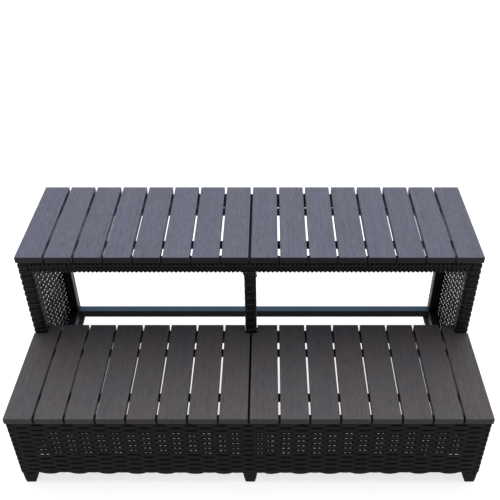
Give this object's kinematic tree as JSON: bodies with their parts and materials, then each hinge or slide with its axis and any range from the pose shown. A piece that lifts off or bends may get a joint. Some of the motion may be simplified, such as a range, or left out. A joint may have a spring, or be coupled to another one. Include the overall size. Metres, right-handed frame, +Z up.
{
  "type": "spa steps",
  "caption": "Two-step stair for getting into a hot tub: slatted treads on a square-tube frame, woven strand sides and front, open riser between the treads.",
  "frame": {"origin": "on the floor, at the centre of the steps' outline", "axes": "+X to the right as a person climbs, +Y from that person towards the tub, +Z up"},
  "size_m": [1.16, 0.628, 0.5],
  "materials": {
    "upper_slat": "wood-plastic board, fine lengthwise brushed grain, blue-grey, matt",
    "lower_slat": "wood-plastic board, fine lengthwise brushed grain, dark grey with a slight brown cast, matt",
    "strand": "flat polyethylene strand, near black, soft sheen with fine ribs",
    "frame": "square tube, dark blue-grey powder coat, satin",
    "foot": "black moulded foot plug"
  },
  "bodies": {
    "root": {"lower_slat_01": "lower_slat", "lower_slat_02": "lower_slat", "lower_slat_03": "lower_slat", "lower_slat_04": "lower_slat", "lower_slat_05": "lower_slat", "lower_slat_06": "lower_slat", "lower_slat_07": "lower_slat", "lower_slat_08": "lower_slat", "lower_slat_09": "lower_slat", "lower_slat_10": "lower_slat", "lower_slat_11": "lower_slat", "lower_slat_12": "lower_slat", "lower_slat_13": "lower_slat", "lower_slat_14": "lower_slat", "lower_slat_15": "lower_slat", "lower_slat_16": "lower_slat", "upper_slat_01": "upper_slat", "upper_slat_02": "upper_slat", "upper_slat_03": "upper_slat", "upper_slat_04": "upper_slat", "upper_slat_05": "upper_slat", "upper_slat_06": "upper_slat", "upper_slat_07": "upper_slat", "upper_slat_08": "upper_slat", "upper_slat_09": "upper_slat", "upper_slat_10": "upper_slat", "upper_slat_11": "upper_slat", "upper_slat_12": "upper_slat", "upper_slat_13": "upper_slat", "upper_slat_14": "upper_slat", "upper_slat_15": "upper_slat", "upper_slat_16": "upper_slat", "left_side_frame": "frame", "right_side_frame": "frame", "lower_tread_frame": "frame", "upper_tread_frame": "frame", "front_frame": "frame", "centre_rear_leg": "frame", "centre_post": "frame", "back_bottom_rail": "frame", "front_weave": "strand", "left_side_weave": "strand", "right_side_weave": "strand", "centre_post_wrap": "strand", "left_post_wrap": "strand", "right_post_wrap": "strand", "left_rear_post_wrap": "strand", "right_rear_post_wrap": "strand", "upper_front_rail_wrap": "strand", "upper_rear_rail_wrap": "strand", "left_front_leg_wrap": "strand", "centre_front_leg_wrap": "strand", "right_front_leg_wrap": "strand", "left_front_foot_cap": "foot", "centre_front_foot_cap": "foot", "right_front_foot_cap": "foot", "centre_rear_foot_cap": "foot", "left_rear_foot_cap": "foot", "right_rear_foot_cap": "foot"}
  },
  "joints": []
}
